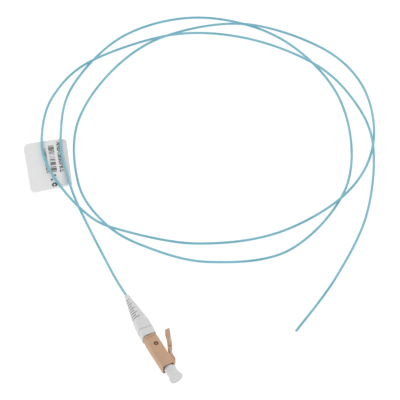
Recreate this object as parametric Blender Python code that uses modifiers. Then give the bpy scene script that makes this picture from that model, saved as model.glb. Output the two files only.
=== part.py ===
# Fibre optic pigtail: one metre or so of buffered fibre with a small latched plug on one end.
# Units are metres. The plug lies on its side along X, its ferrule towards +X and its latch towards +Y.
# The origin is on the floor, under the middle of the plug.
import math

import bmesh
import bpy
from mathutils import Matrix, Vector

MM = 0.001

# Clearances
FIT_GAP = 0.2 * MM
CORD_GAP = 0.3 * MM

# Housing: the moulded body that enters the socket
HOUSING_WIDTH = 4.5 * MM
HOUSING_LENGTH = 13.2 * MM
HOUSING_CHAMFER = 0.2 * MM
CAVITY_RADIUS = 1.9 * MM
CAVITY_DEPTH = 7.6 * MM

# Latch: root on the housing's side, shoulders that catch in the socket, and the tail that a thumb presses
ROOT_WIDTH = 4.0 * MM
ROOT_HEIGHT = 1.3 * MM
ROOT_START = 0.3 * MM
ROOT_SINK = 0.45 * MM
ROOT_END = 5.0 * MM
LEVER_WIDTH = 3.0 * MM
NECK_THICKNESS = 0.75 * MM
TAIL_THICKNESS = 1.15 * MM
TAIL_RISE = 3.85 * MM
TAIL_END = 13.95 * MM
LEVER_OVERLAP = 0.8 * MM
LEVER_WAVE_SHARE = 0.06
SHOULDER_WIDTH = 4.4 * MM
SHOULDER_START = 7.0 * MM
SHOULDER_LENGTH = 2.3 * MM
SHOULDER_STEP = 0.5 * MM

# Rear body: the insert that closes the housing and carries the boot
FLANGE_LENGTH = 0.9 * MM
REAR_STEM_RADIUS = 1.5 * MM
REAR_STEM_LENGTH = 3.0 * MM
REAR_NECK_RADIUS = 1.7 * MM
REAR_NECK_LENGTH = 2.6 * MM

# Boot: the strain relief, slotted so that it bends
BOOT_GAP = 0.35 * MM
BOOT_LENGTH = 19.7 * MM
BOOT_TURN_DEGREES = -3.7
BOOT_TIP_RADIUS = 0.88 * MM
BOOT_TIP_ROUND = 0.3 * MM
BOOT_SLOT_END_RADIUS = 2.64 * MM
BOOT_SWELL_RADIUS = 2.9 * MM
BOOT_SWELL_LENGTH = 2.7 * MM
BOOT_SWELL_HALF = 2.64 * MM
BOOT_COLLAR_HALF = 2.55 * MM
BOOT_COLLAR_RADIUS = 3.0 * MM
BOOT_COLLAR_LENGTH = 3.2 * MM
BOOT_RIM_RADIUS = 3.2 * MM
SLOT_LEVELS = 9
SLOT_FIRST = 2.6 * MM
SLOT_PITCH = 1.09 * MM
SLOT_WIDTH = 0.4 * MM
SLOT_CORE_RADIUS = 0.7 * MM
SLOT_WEB_DEGREES = 24.0
SLOT_TURN_DEGREES = 8.0

# Ferrule and its holder
FERRULE_RADIUS = 0.625 * MM
FERRULE_REACH = 1.0 * MM
HOLDER_RADIUS = 1.3 * MM
HOLDER_LENGTH = 2.2 * MM

# Dust cap
CAP_INNER_RADIUS = 1.6 * MM
CAP_INNER_LENGTH = 3.0 * MM
CAP_BODY_RADIUS = 2.03 * MM
CAP_FLARE_RADIUS = 2.48 * MM
CAP_VISIBLE_LENGTH = 5.3 * MM
CAP_FLARE_LENGTH = 2.15 * MM
CAP_RIM_LENGTH = 0.45 * MM

# Fibre
CORD_RADIUS = 0.45 * MM
CORD_SAMPLES = 79

# Label: a card folded back under itself, its fold on the right as seen from the bare end
LABEL_LENGTH = 22.1 * MM
LABEL_WIDTH = 15.3 * MM
LABEL_EDGE_HEIGHT = 0.4 * MM
LABEL_CREST_HEIGHT = 1.4 * MM
LABEL_CREST_SHARE = 0.72
LABEL_CORNER = 1.6 * MM
LABEL_CENTRE_X = -86.8 * MM
LABEL_CENTRE_Y = 1.2 * MM
LABEL_TURN_DEGREES = -18.7

ROUND_SEGMENTS = 32

# Places that follow from the sizes
BODY_LENGTH = HOUSING_LENGTH + FIT_GAP + FLANGE_LENGTH
AXIS_HEIGHT = BOOT_SWELL_HALF
LATCH_REACH = HOUSING_WIDTH / 2 + TAIL_RISE + TAIL_THICKNESS
BOOT_TURN = math.radians(BOOT_TURN_DEGREES)
BOOT_REACH = BOOT_LENGTH * math.cos(BOOT_TURN) - (BOOT_TIP_RADIUS - BOOT_TIP_ROUND) * math.sin(BOOT_TURN)
FRONT_X = (BODY_LENGTH + BOOT_GAP + BOOT_REACH - CAP_VISIBLE_LENGTH) / 2
AXIS_Y = (BOOT_COLLAR_HALF * math.cos(BOOT_TURN) - LATCH_REACH) / 2
HOUSING_REAR_X = FRONT_X - HOUSING_LENGTH
FLANGE_REAR_X = FRONT_X - BODY_LENGTH
BOOT_FRONT_X = FLANGE_REAR_X - BOOT_GAP
BOOT_TIP_X = BOOT_FRONT_X - BOOT_LENGTH

# The boot is drawn along the plug's axis, then turned a little in plan about the middle of its mouth
BOOT_MOUTH = Vector((BOOT_FRONT_X, AXIS_Y, AXIS_HEIGHT))
BOOT_LEAN = (Matrix.Translation(BOOT_MOUTH) @ Matrix.Rotation(BOOT_TURN, 4, "Z")
             @ Matrix.Translation(-BOOT_MOUTH))

# Route of the cord's centre, in millimetres from the origin, boot tip first and bare end last
CORD_ROUTE = (
    (-20.3, -1.0, 2.64), (-33.0, -0.7, 2.45), (-63.7, 2.2, 1.75), (-78.9, 5.2, 2.0),
    (-95.4, 10.7, 1.85), (-116.1, 25.8, 0.6), (-129.4, 54.5, 0.45), (-123.6, 84.2, 0.45),
    (-99.7, 105.7, 0.45), (-64.0, 110.3, 0.45), (-28.8, 93.5, 0.45), (-12.1, 60.8, 0.45),
    (-21.0, 32.0, 0.45), (-39.1, 14.4, 0.45), (-55.0, 7.3, 0.45), (-74.5, 7.4, 0.45),
    (-99.4, 19.5, 0.45), (-116.3, 42.7, 0.45), (-121.9, 68.4, 0.45), (-112.3, 96.1, 1.85),
    (-90.1, 116.3, 0.45), (-65.4, 120.9, 0.45), (-39.8, 110.4, 0.45), (-23.5, 88.9, 1.85),
    (-20.9, 59.1, 0.45), (-30.2, 32.0, 0.6), (-48.5, 9.3, 2.2), (-62.9, 1.8, 3.1), (-84.7, 0.5, 2.2),
    (-99.5, 5.1, 1.95), (-115.3, 17.6, 0.8), (-123.0, 37.3, 1.85), (-120.5, 68.8, 1.85),
    (-107.3, 93.3, 0.6), (-83.1, 109.7, 1.85), (-61.2, 114.4, 1.0), (-38.6, 109.7, 1.85),
    (-13.0, 92.4, 0.45), (6.3, 68.9, 0.45), (20.2, 45.0, 0.45),
)


def clear_scene():
    for old in list(bpy.data.objects):
        bpy.data.objects.remove(old, do_unlink=True)


def new_collection(name):
    group = bpy.data.collections.new(name)
    bpy.context.scene.collection.children.link(group)
    return group


clear_scene()
PARTS = new_collection("fibre_optic_pigtail")
CUTTERS = new_collection("cutters")


def plastic(name, colour, roughness, metallic=0.0):
    material = bpy.data.materials.new(name)
    material.use_nodes = True
    shader = material.node_tree.nodes["Principled BSDF"]
    shader.inputs["Base Color"].default_value = (*colour, 1.0)
    shader.inputs["Roughness"].default_value = roughness
    shader.inputs["Metallic"].default_value = metallic
    return material


def keep(item, group, material=None):
    for owner in list(item.users_collection):
        owner.objects.unlink(item)
    group.objects.link(item)
    if material:
        item.data.materials.clear()
        item.data.materials.append(material)
    if group is CUTTERS:
        item.hide_render = True
        item.display_type = "WIRE"
    return item


def box(name, low, high, group):
    centre = (Vector(low) + Vector(high)) / 2
    size = Vector(high) - Vector(low)
    bpy.ops.mesh.primitive_cube_add(size=1.0, location=centre)
    item = bpy.context.object
    item.name = name
    item.data.transform(Matrix.Diagonal((*size, 1.0)))
    return keep(item, group)


def turned(name, profile, group, segments=ROUND_SEGMENTS):
    """A solid of revolution about the plug's axis, from (place along X, radius) pairs, front first."""
    mesh = bpy.data.meshes.new(name)
    outline = bmesh.new()
    points = [outline.verts.new((radius, 0.0, along)) for along, radius in profile]
    for first, second in zip(points, points[1:]):
        outline.edges.new((first, second))
    outline.to_mesh(mesh)
    outline.free()
    item = bpy.data.objects.new(name, mesh)
    keep(item, group)
    item.location = (0.0, AXIS_Y, AXIS_HEIGHT)
    item.rotation_euler = (0.0, math.radians(90.0), 0.0)
    screw = item.modifiers.new("turn", "SCREW")
    screw.steps = segments
    screw.render_steps = segments
    screw.use_merge_vertices = True
    screw.merge_threshold = 0.000001
    return item


def flat_outline(name, outlines, thickness, place, group):
    """Closed outlines filled and given a thickness about their own plane, as a mesh."""
    curve = bpy.data.curves.new(name, "CURVE")
    curve.dimensions = "2D"
    curve.fill_mode = "BOTH"
    curve.extrude = thickness / 2
    for outline in outlines:
        spline = curve.splines.new("POLY")
        spline.points.add(len(outline) - 1)
        spline.use_cyclic_u = True
        for point, (first, second) in zip(spline.points, outline):
            point.co = (first, second, 0.0, 1.0)
    drawn = bpy.data.objects.new(name + "_outline", curve)
    bpy.context.scene.collection.objects.link(drawn)
    drawn.matrix_world = place
    bpy.context.view_layer.update()
    evaluated = drawn.evaluated_get(bpy.context.evaluated_depsgraph_get())
    mesh = bpy.data.meshes.new_from_object(evaluated)
    welded = bmesh.new()
    welded.from_mesh(mesh)
    bmesh.ops.remove_doubles(welded, verts=welded.verts, dist=0.000001)
    bmesh.ops.recalc_face_normals(welded, faces=welded.faces)
    welded.to_mesh(mesh)
    welded.free()
    item = bpy.data.objects.new(name, mesh)
    item.matrix_world = place
    bpy.data.objects.remove(drawn, do_unlink=True)
    return keep(item, group)


def boolean(item, cutter, operation="DIFFERENCE"):
    change = item.modifiers.new(cutter.name, "BOOLEAN")
    change.operation = operation
    change.solver = "EXACT"
    change.object = cutter


def across_axis(along):
    """The plane across the plug's axis: its first direction is +Y, its second is +Z."""
    place = Matrix.Translation((along, AXIS_Y, AXIS_HEIGHT))
    place = place @ Matrix.Rotation(math.radians(90.0), 4, "Z")
    return place @ Matrix.Rotation(math.radians(90.0), 4, "X")


def housing_section():
    """The square section of the housing with its four long edges cut off."""
    half = HOUSING_WIDTH / 2
    flat = half - HOUSING_CHAMFER
    return [(half, -flat), (half, flat), (flat, half), (-flat, half),
            (-half, flat), (-half, -flat), (-flat, -half), (flat, -half)]


def housing_prism(name, start, end, group):
    return flat_outline(name, [housing_section()], end - start, across_axis((start + end) / 2), group)


def on_side(behind_front, above_side):
    """A point of the latch's side view: distance behind the housing's front, height over its latch side."""
    return (FRONT_X - behind_front, AXIS_Y + HOUSING_WIDTH / 2 + above_side)


def latch_root_outline():
    sunk = -ROOT_SINK
    return [
        on_side(ROOT_START, sunk),
        on_side(ROOT_START, 0.0),
        on_side(ROOT_START + ROOT_HEIGHT, ROOT_HEIGHT),
        on_side(ROOT_END, ROOT_HEIGHT),
        on_side(ROOT_END - NECK_THICKNESS / 2, ROOT_HEIGHT / 4),
        on_side(ROOT_END - NECK_THICKNESS / 2, sunk),
    ]


def lever_share(along):
    """Share of the lever's length that a distance behind the housing's front has reached."""
    start = ROOT_END - LEVER_OVERLAP
    return (along - start) / (TAIL_END - start)


def lever_inner(along):
    """Height of the lever's inner face over the housing's side, straight but for a slight wave."""
    share = lever_share(along)
    start = ROOT_HEIGHT - NECK_THICKNESS
    wave = LEVER_WAVE_SHARE * math.sin(share * math.pi * 2.0)
    return start + (TAIL_RISE - start) * (share - wave)


def lever_outer(along):
    return lever_inner(along) + NECK_THICKNESS + (TAIL_THICKNESS - NECK_THICKNESS) * lever_share(along)


def latch_lever_outline(steps=10):
    start = ROOT_END - LEVER_OVERLAP
    places = [start + (TAIL_END - start) * step / steps for step in range(steps + 1)]
    inner = [on_side(along, lever_inner(along)) for along in places]
    outer = [on_side(along, lever_outer(along)) for along in places]
    return inner + outer[::-1]


def latch_shoulder_outline():
    start = SHOULDER_START
    end = SHOULDER_START + SHOULDER_LENGTH
    sunk = NECK_THICKNESS * 0.3
    return [
        on_side(start, lever_inner(start) + sunk),
        on_side(start, lever_outer(start) + SHOULDER_STEP),
        on_side(end, lever_outer(end) + SHOULDER_STEP / 2),
        on_side(end, lever_inner(end) + sunk),
    ]


def make_housing(material):
    side_view = Matrix.Translation((0.0, 0.0, AXIS_HEIGHT))
    housing = housing_prism("connector_housing", HOUSING_REAR_X, FRONT_X, PARTS)
    keep(housing, PARTS, material)
    root = flat_outline("latch_root", [latch_root_outline()], ROOT_WIDTH, side_view, CUTTERS)
    lever = flat_outline("latch_lever", [latch_lever_outline()], LEVER_WIDTH, side_view, CUTTERS)
    shoulder = flat_outline("latch_shoulder", [latch_shoulder_outline()], SHOULDER_WIDTH, side_view, CUTTERS)
    cavity = turned("housing_cavity", [
        (FRONT_X + FIT_GAP, 0.0),
        (FRONT_X + FIT_GAP, CAVITY_RADIUS),
        (FRONT_X - CAVITY_DEPTH, CAVITY_RADIUS),
        (FRONT_X - CAVITY_DEPTH, 0.0),
    ], CUTTERS)
    rear_bore = turned("housing_rear_bore", [
        (HOUSING_REAR_X + REAR_STEM_LENGTH + FIT_GAP, 0.0),
        (HOUSING_REAR_X + REAR_STEM_LENGTH + FIT_GAP, REAR_STEM_RADIUS + FIT_GAP),
        (HOUSING_REAR_X - FIT_GAP, REAR_STEM_RADIUS + FIT_GAP),
        (HOUSING_REAR_X - FIT_GAP, 0.0),
    ], CUTTERS)
    boolean(housing, root, "UNION")
    boolean(housing, lever, "UNION")
    boolean(housing, shoulder, "UNION")
    boolean(housing, cavity)
    boolean(housing, rear_bore)


def make_rear_body(material):
    flange_front_x = HOUSING_REAR_X - FIT_GAP
    body = housing_prism("rear_body", FLANGE_REAR_X, flange_front_x, PARTS)
    keep(body, PARTS, material)
    stem = turned("rear_stem", [
        (HOUSING_REAR_X + REAR_STEM_LENGTH, 0.0),
        (HOUSING_REAR_X + REAR_STEM_LENGTH, REAR_STEM_RADIUS),
        (flange_front_x - FLANGE_LENGTH / 2, REAR_STEM_RADIUS),
        (flange_front_x - FLANGE_LENGTH / 2, REAR_NECK_RADIUS),
        (FLANGE_REAR_X - REAR_NECK_LENGTH, REAR_NECK_RADIUS),
        (FLANGE_REAR_X - REAR_NECK_LENGTH, 0.0),
    ], CUTTERS)
    boolean(body, stem, "UNION")


def slot_outline(start_degrees, end_degrees, inner, outer, steps=10):
    sweep = end_degrees - start_degrees
    angles = [math.radians(start_degrees + sweep * step / steps) for step in range(steps + 1)]
    far = [(outer * math.cos(angle), outer * math.sin(angle)) for angle in angles]
    near = [(inner * math.cos(angle), inner * math.sin(angle)) for angle in reversed(angles)]
    return far + near


def leaned(item):
    item.matrix_world = BOOT_LEAN @ item.matrix_basis
    return item


def flatten_sides(boot, name, start, end, half):
    """Cuts four flats at a distance from the boot's own axis, between two places along it."""
    reach = BOOT_RIM_RADIUS
    for number in range(4):
        flat = box(f"{name}_{number + 1}", (start, -reach * 2, half), (end, reach * 2, half + reach), CUTTERS)
        flat.data.transform(Matrix.Translation(flat.location))
        flat.data.transform(Matrix.Rotation(math.radians(90.0 * number), 4, "X"))
        flat.location = (0.0, AXIS_Y, AXIS_HEIGHT)
        boolean(boot, leaned(flat))


def make_boot(material):
    last_slot = BOOT_TIP_X + SLOT_FIRST + SLOT_PITCH * (SLOT_LEVELS - 1) + SLOT_WIDTH
    collar_x = BOOT_FRONT_X - BOOT_COLLAR_LENGTH
    boot = turned("strain_relief_boot", [
        (BOOT_FRONT_X, 0.0),
        (BOOT_FRONT_X, BOOT_RIM_RADIUS),
        (collar_x, BOOT_COLLAR_RADIUS),
        (collar_x - BOOT_SWELL_LENGTH, BOOT_SWELL_RADIUS),
        (last_slot, BOOT_SLOT_END_RADIUS),
        (BOOT_TIP_X + BOOT_TIP_ROUND, BOOT_TIP_RADIUS),
        (BOOT_TIP_X, BOOT_TIP_RADIUS - BOOT_TIP_ROUND),
        (BOOT_TIP_X, 0.0),
    ], PARTS)
    keep(boot, PARTS, material)
    leaned(boot)
    flatten_sides(boot, "swell_flat", last_slot, collar_x + FIT_GAP, BOOT_SWELL_HALF)
    flatten_sides(boot, "collar_flat", collar_x, BOOT_FRONT_X + FIT_GAP, BOOT_COLLAR_HALF)
    mouth = turned("boot_mouth", [
        (BOOT_FRONT_X + FIT_GAP, 0.0),
        (BOOT_FRONT_X + FIT_GAP, REAR_NECK_RADIUS + FIT_GAP),
        (FLANGE_REAR_X - REAR_NECK_LENGTH - FIT_GAP, REAR_NECK_RADIUS + FIT_GAP),
        (FLANGE_REAR_X - REAR_NECK_LENGTH - FIT_GAP, 0.0),
    ], CUTTERS)
    boolean(boot, mouth)
    for level in range(SLOT_LEVELS):
        web = SLOT_TURN_DEGREES + 90.0 * (level % 2)
        halves = []
        for half in range(2):
            start = web + 180.0 * half + SLOT_WEB_DEGREES / 2
            end = start + 180.0 - SLOT_WEB_DEGREES
            halves.append(slot_outline(start, end, SLOT_CORE_RADIUS, BOOT_RIM_RADIUS))
        place = across_axis(BOOT_TIP_X + SLOT_FIRST + SLOT_PITCH * level)
        slots = flat_outline(f"boot_slots_{level + 1}", halves, SLOT_WIDTH, place, CUTTERS)
        boolean(boot, leaned(slots))


def make_ferrule(ferrule_material, holder_material):
    holder_rear = FRONT_X - CAVITY_DEPTH + FIT_GAP
    holder_front = holder_rear + HOLDER_LENGTH
    holder = turned("ferrule_holder", [
        (holder_front, 0.0),
        (holder_front, HOLDER_RADIUS * 0.75),
        (holder_front - HOLDER_LENGTH * 0.3, HOLDER_RADIUS),
        (holder_rear, HOLDER_RADIUS),
        (holder_rear, 0.0),
    ], PARTS)
    keep(holder, PARTS, holder_material)
    tip = FRONT_X + FERRULE_REACH
    chamfer = FERRULE_RADIUS * 0.3
    ferrule = turned("ferrule", [
        (tip, 0.0),
        (tip, FERRULE_RADIUS - chamfer),
        (tip - chamfer, FERRULE_RADIUS),
        (holder_front + FIT_GAP, FERRULE_RADIUS),
        (holder_front + FIT_GAP, 0.0),
    ], PARTS)
    keep(ferrule, PARTS, ferrule_material)


def make_dust_cap(material):
    end = FRONT_X + CAP_VISIBLE_LENGTH
    bore = FERRULE_RADIUS + FIT_GAP * 1.5
    cap = turned("dust_cap", [
        (end, 0.0),
        (end, CAP_FLARE_RADIUS),
        (end - CAP_RIM_LENGTH, CAP_FLARE_RADIUS),
        (end - CAP_FLARE_LENGTH, CAP_BODY_RADIUS),
        (FRONT_X + FIT_GAP, CAP_BODY_RADIUS),
        (FRONT_X + FIT_GAP, CAP_INNER_RADIUS),
        (FRONT_X - CAP_INNER_LENGTH, CAP_INNER_RADIUS),
        (FRONT_X - CAP_INNER_LENGTH, 0.0),
    ], PARTS)
    keep(cap, PARTS, material)
    hole = turned("cap_bore", [
        (FRONT_X + FERRULE_REACH + FIT_GAP * 2, 0.0),
        (FRONT_X + FERRULE_REACH + FIT_GAP * 2, bore),
        (FRONT_X - CAP_INNER_LENGTH - FIT_GAP, bore),
        (FRONT_X - CAP_INNER_LENGTH - FIT_GAP, 0.0),
    ], CUTTERS)
    boolean(cap, hole)


def route_point(points, place):
    """Catmull-Rom through the route in plan; the height eases from one point to the next."""
    index = min(int(place), len(points) - 2)
    share = place - index
    before = points[max(index - 1, 0)]
    first = points[index]
    second = points[index + 1]
    after = points[min(index + 2, len(points) - 1)]
    plan = []
    for axis in range(2):
        linear = (second[axis] - before[axis]) * share
        square = (2 * before[axis] - 5 * first[axis] + 4 * second[axis] - after[axis]) * share ** 2
        cube = (3 * first[axis] - before[axis] - 3 * second[axis] + after[axis]) * share ** 3
        plan.append(first[axis] + (linear + square + cube) / 2)
    ease = share * share * (3 - 2 * share)
    height = first[2] + (second[2] - first[2]) * ease
    return Vector((*plan, height))


def make_cord(material):
    points = [tuple(value * MM for value in point) for point in CORD_ROUTE]
    points[0] = BOOT_LEAN @ Vector((BOOT_TIP_X - CORD_GAP, AXIS_Y, AXIS_HEIGHT))
    spans = len(points) - 1
    fine = [route_point(points, spans * step / 2000) for step in range(2001)]
    lengths = [0.0]
    for first, second in zip(fine, fine[1:]):
        lengths.append(lengths[-1] + (second - first).length)
    curve = bpy.data.curves.new("fibre_cord", "CURVE")
    curve.dimensions = "3D"
    curve.bevel_depth = CORD_RADIUS
    curve.bevel_resolution = 2
    curve.use_fill_caps = True
    spline = curve.splines.new("POLY")
    spline.points.add(CORD_SAMPLES - 1)
    reached = 0
    for number, point in enumerate(spline.points):
        wanted = lengths[-1] * number / (CORD_SAMPLES - 1)
        while reached < len(lengths) - 1 and lengths[reached] < wanted:
            reached += 1
        point.co = (*fine[reached], 1.0)
    cord = bpy.data.objects.new("fibre_cord", curve)
    keep(cord, PARTS, material)


def label_plan(steps=5):
    """Plan of the folded card: square corners at the fold, rounded corners at the free edge."""
    half_length = LABEL_LENGTH / 2
    half_width = LABEL_WIDTH / 2
    outline = [(half_length, half_width), (-half_length, half_width)]
    for quarter, side in ((2, -1), (3, 1)):
        for step in range(steps + 1):
            angle = math.radians(90.0 * (quarter + step / steps))
            outline.append((side * (half_length - LABEL_CORNER) + LABEL_CORNER * math.cos(angle),
                            LABEL_CORNER - half_width + LABEL_CORNER * math.sin(angle)))
    return outline


def label_top(share):
    """Height of the card's top from its free edge (0) over the crest to the fold (1)."""
    if share < LABEL_CREST_SHARE:
        rise = math.sin(math.pi / 2 * share / LABEL_CREST_SHARE)
        return LABEL_EDGE_HEIGHT + (LABEL_CREST_HEIGHT - LABEL_EDGE_HEIGHT) * rise
    past = (share - LABEL_CREST_SHARE) / (1.0 - LABEL_CREST_SHARE)
    return LABEL_CREST_HEIGHT * math.sqrt(max(0.0, 1.0 - past * past))


def label_section(steps=16):
    """Section across the fold, as (place across, height)."""
    outline = [(LABEL_WIDTH / 2, 0.0), (-LABEL_WIDTH / 2, 0.0)]
    for step in range(steps):
        share = math.sin(math.pi / 2 * step / steps)
        outline.append((LABEL_WIDTH * (share - 0.5), label_top(share)))
    return outline


def make_label(material):
    turn = Matrix.Rotation(math.radians(LABEL_TURN_DEGREES), 4, "Z")
    place = Matrix.Translation((LABEL_CENTRE_X, LABEL_CENTRE_Y, 0.0)) @ turn
    upright = place @ Matrix.Rotation(math.radians(90.0), 4, "Z")
    upright = upright @ Matrix.Rotation(math.radians(90.0), 4, "X")
    label = flat_outline("label", [label_section()], LABEL_LENGTH, upright, PARTS)
    keep(label, PARTS, material)
    plan = flat_outline("label_plan", [label_plan()], LABEL_CREST_HEIGHT * 4, place, CUTTERS)
    boolean(label, plan, "INTERSECT")


BEIGE = plastic("beige_moulding", (0.55, 0.36, 0.23), 0.45)
WHITE = plastic("white_moulding", (0.78, 0.78, 0.77), 0.5)
ZIRCONIA = plastic("zirconia", (0.85, 0.84, 0.80), 0.15)
NICKEL = plastic("nickel", (0.60, 0.58, 0.55), 0.3, 1.0)
AQUA = plastic("aqua_buffer", (0.14, 0.46, 0.53), 0.4)
PAPER = plastic("label_film", (0.75, 0.75, 0.75), 0.6)

make_housing(BEIGE)
make_rear_body(BEIGE)
make_boot(WHITE)
make_ferrule(ZIRCONIA, NICKEL)
make_dust_cap(WHITE)
make_cord(AQUA)
make_label(PAPER)
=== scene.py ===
import math

import bmesh
import bpy
from mathutils import Matrix, Vector


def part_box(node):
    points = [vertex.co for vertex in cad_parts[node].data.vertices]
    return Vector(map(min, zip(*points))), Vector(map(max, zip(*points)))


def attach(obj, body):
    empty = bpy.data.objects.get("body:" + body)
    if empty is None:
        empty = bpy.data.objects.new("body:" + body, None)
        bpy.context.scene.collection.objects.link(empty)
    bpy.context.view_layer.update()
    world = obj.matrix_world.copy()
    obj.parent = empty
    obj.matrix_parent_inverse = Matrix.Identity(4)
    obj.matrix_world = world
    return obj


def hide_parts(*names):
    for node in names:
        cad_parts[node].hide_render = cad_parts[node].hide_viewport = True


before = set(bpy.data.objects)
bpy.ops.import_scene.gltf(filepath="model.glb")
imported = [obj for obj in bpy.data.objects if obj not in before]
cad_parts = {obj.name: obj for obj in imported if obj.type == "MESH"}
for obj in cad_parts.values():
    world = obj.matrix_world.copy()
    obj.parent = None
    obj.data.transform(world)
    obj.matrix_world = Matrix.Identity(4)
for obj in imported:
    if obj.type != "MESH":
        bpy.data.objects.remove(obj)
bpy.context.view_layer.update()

MM = 0.001

# Camera. The pigtail lies on a table and is looked down on from beyond the plug, over its back.
# A long lens from 1.2 m keeps the coil and the plug almost free of perspective.
VIEW_AIM = Vector((-47.26, 42.80, 0.0)) * MM
VIEW_DISTANCE = 1.2
VIEW_AZIMUTH = 62.0
VIEW_ELEVATION = 52.0
VIEW_LENS_MM = 299.4
SENSOR_WIDTH_MM = 36.0

azimuth = math.radians(VIEW_AZIMUTH)
elevation = math.radians(VIEW_ELEVATION)
backwards = Vector((
    math.sin(azimuth) * math.cos(elevation),
    -math.cos(azimuth) * math.cos(elevation),
    math.sin(elevation),
))
camera_data = bpy.data.cameras.new("camera")
camera_data.lens = VIEW_LENS_MM
camera_data.sensor_width = SENSOR_WIDTH_MM
camera_data.clip_start = 0.05
camera_data.clip_end = 10.0
camera = bpy.data.objects.new("camera", camera_data)
camera.location = VIEW_AIM + backwards * VIEW_DISTANCE
camera.rotation_euler = (math.pi / 2 - elevation, 0.0, azimuth)
bpy.context.scene.collection.objects.link(camera)
bpy.context.scene.camera = camera


# Fibre cord: 0.9 mm tight buffer over the glass, extruded in one aqua plastic and wound twice and a half.
# It lies on the table, rides over itself and over the label, and ends in a bare square cut.
CORD_DIAMETER = 0.9 * MM
CORD_SIDES = 20
CORD_STEP = 0.7 * MM
CORD_START_INSIDE = 0.5 * MM
CORD_ROUTE = (
    (-20.3, -1.0, 2.64), (-33.0, -0.7, 2.45), (-63.7, 2.2, 1.75), (-78.9, 5.2, 2.0),
    (-95.4, 10.7, 1.85), (-116.1, 25.8, 0.6), (-129.4, 54.5, 0.45), (-123.6, 84.2, 0.45),
    (-99.7, 105.7, 0.45), (-64.0, 110.3, 0.45), (-28.8, 93.5, 0.45), (-12.1, 60.8, 0.45),
    (-21.0, 32.0, 0.45), (-39.1, 14.4, 0.45), (-55.0, 7.3, 0.45), (-74.5, 7.4, 0.45),
    (-99.4, 19.5, 0.45), (-116.3, 42.7, 0.45), (-121.9, 68.4, 0.45), (-112.3, 96.1, 1.85),
    (-90.1, 116.3, 0.45), (-65.4, 120.9, 0.45), (-39.8, 110.4, 0.45), (-23.5, 88.9, 1.85),
    (-20.9, 59.1, 0.45), (-30.2, 32.0, 0.6), (-48.5, 9.3, 2.2), (-62.9, 1.8, 3.1), (-84.7, 0.5, 2.2),
    (-99.5, 5.1, 1.95), (-115.3, 17.6, 0.8), (-123.0, 37.3, 1.85), (-120.5, 68.8, 1.85),
    (-107.3, 93.3, 0.6), (-83.1, 109.7, 1.85), (-61.2, 114.4, 1.0), (-38.6, 109.7, 1.85),
    (-13.0, 92.4, 0.45), (6.3, 68.9, 0.45), (20.2, 45.0, 0.45),
)
AQUA = (0.246, 0.548, 0.662)
AQUA_DEEP = (0.166, 0.468, 0.568)
BUFFER_ROUGHNESS = (0.34, 0.52)
# Scale along the cord, scale round it and detail of its two noises
DRAW_LINES = (25.0, 5200.0, 3.0)
COLOUR_DRIFT = (90.0, 600.0, 4.0)
DRAW_LINE_DEPTH = 0.02 * MM
GLASS_COAT = (0.80, 0.82, 0.78)
GLASS_COAT_DIAMETER = 0.25 * MM

BOOT_LENGTH = 19.9 * MM
BOOT_BEHIND_FRONT = 14.45 * MM
BOOT_TURN_DEGREES = -3.7

rear_low, rear_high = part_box("rear_body")
FRONT_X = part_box("connector_housing")[1].x
AXIS_Y = (rear_low.y + rear_high.y) / 2
AXIS_Z = (rear_low.z + rear_high.z) / 2
BOOT_PLACE = Matrix.Translation((FRONT_X - BOOT_BEHIND_FRONT, AXIS_Y, AXIS_Z))
BOOT_PLACE @= Matrix.Rotation(math.radians(BOOT_TURN_DEGREES), 4, "Z")


def eased(share):
    return share * share * (3 - 2 * share)


def route_point(points, place):
    """Catmull-Rom through the route in plan; the height eases from one point to the next."""
    index = min(int(place), len(points) - 2)
    share = place - index
    before = points[max(index - 1, 0)]
    first = points[index]
    second = points[index + 1]
    after = points[min(index + 2, len(points) - 1)]
    plan = []
    for axis in range(2):
        linear = (second[axis] - before[axis]) * share
        square = (2 * before[axis] - 5 * first[axis] + 4 * second[axis] - after[axis]) * share ** 2
        cube = (3 * first[axis] - before[axis] - 3 * second[axis] + after[axis]) * share ** 3
        plan.append(first[axis] + (linear + square + cube) / 2)
    return Vector((*plan, first[2] + (second[2] - first[2]) * eased(share)))


def add_node(tree, kind, inputs=(), **settings):
    """A node with its named settings; inputs pairs a socket's name or number with a value or a link."""
    made = tree.nodes.new(kind)
    for name, value in settings.items():
        setattr(made, name, value)
    for name, value in inputs:
        if isinstance(value, bpy.types.NodeSocket):
            tree.links.new(value, made.inputs[name])
        else:
            made.inputs[name].default_value = value
    return made


def number_node(tree, operation, *values):
    """A Math node fed by numbers or links; gives its output."""
    return add_node(tree, "ShaderNodeMath", enumerate(values), operation=operation).outputs["Value"]


def new_tree(name, inputs):
    """A Geometry Nodes tree with a mesh in, a mesh out and named inputs, as (tree, its inputs, result)."""
    tree = bpy.data.node_groups.new(name, "GeometryNodeTree")
    tree.interface.new_socket("Geometry", in_out="INPUT", socket_type="NodeSocketGeometry")
    tree.interface.new_socket("Geometry", in_out="OUTPUT", socket_type="NodeSocketGeometry")
    for label, kind, value in inputs:
        socket = tree.interface.new_socket(label, in_out="INPUT", socket_type=kind)
        if value is not None:
            socket.default_value = value
    return tree, tree.nodes.new("NodeGroupInput").outputs, tree.nodes.new("NodeGroupOutput")


def end_tree(tree, geometry, finish, result):
    """Ends a tree: what it made is realized, given its finish and sent out."""
    realize = add_node(tree, "GeometryNodeRealizeInstances", [("Geometry", geometry)])
    dressed = add_node(tree, "GeometryNodeSetMaterial", [
        ("Geometry", realize.outputs["Geometry"]), ("Material", finish),
    ])
    tree.links.new(dressed.outputs["Geometry"], result.inputs["Geometry"])


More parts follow.
